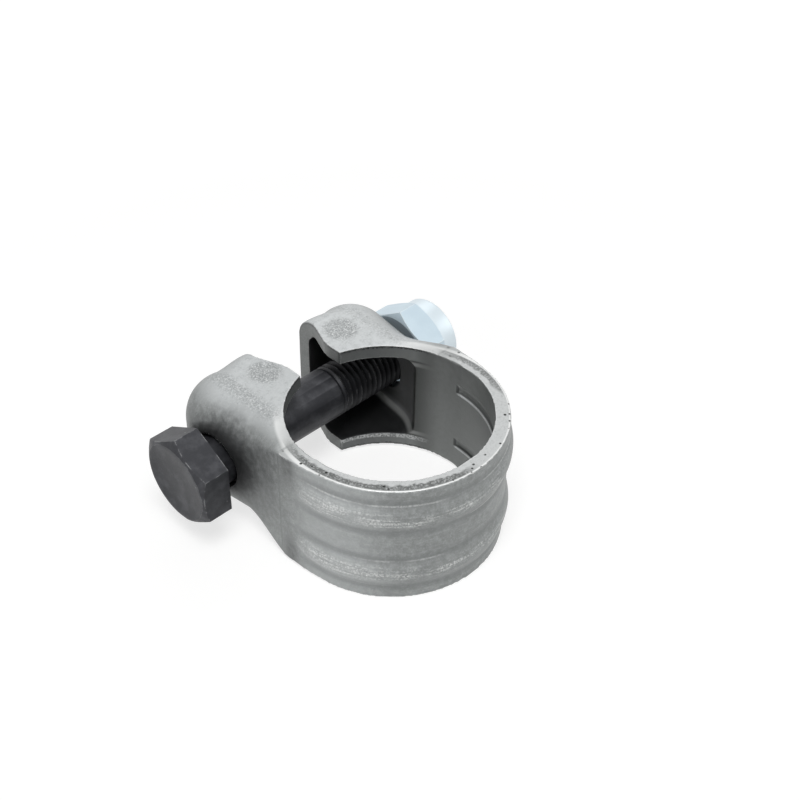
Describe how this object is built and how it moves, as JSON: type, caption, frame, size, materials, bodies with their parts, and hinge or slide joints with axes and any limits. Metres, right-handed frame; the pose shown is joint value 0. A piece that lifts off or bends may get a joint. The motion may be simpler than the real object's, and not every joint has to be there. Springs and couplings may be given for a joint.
{
  "type": "tie rod clamp",
  "caption": "Pressed steel clamp band with two hooded ears, drawn together on a slotted tube end by a hexagon bolt and a lock nut.",
  "frame": {"origin": "on the axis of the tube bore, halfway up the band's width", "axes": "+Z along the bore axis, +Y from the bore towards the ears and the slot, +X along the bolt from its head to the nut"},
  "size_m": [0.0767, 0.0667, 0.03],
  "materials": {
    "band_steel": "pressed and tumbled bare steel, satin, with scale and rubbed edges",
    "bolt_steel": "black oxide, satin",
    "nut_steel": "clear zinc plating, bluish",
    "nylon": "natural nylon"
  },
  "bodies": {
    "band": {"clamp_band": "band_steel"},
    "bolt": {"hex_bolt": "bolt_steel"},
    "insert": {"nylon_insert": "nylon"},
    "nut": {"lock_nut": "nut_steel"}
  },
  "joints": [
    {"name": "bolt_slide", "type": "slide", "parent": "band", "child": "bolt", "axis": [1, 0, 0], "range_m": [0, 0.0016]},
    {"name": "nut_travel", "type": "slide", "parent": "bolt", "child": "insert", "axis": [1, 0, 0], "range_m": [-0.00045, 0.006]},
    {"name": "nut_turn", "type": "hinge", "parent": "insert", "child": "nut", "pos_m": [0.03, 0.0271, 0], "axis": [1, 0, 0], "range_deg": [-108, 1440]}
  ],
  "couplings": [
    {"joint": "nut_travel", "follows": "nut_turn", "m_per_rad": 0.00023873}
  ]
}
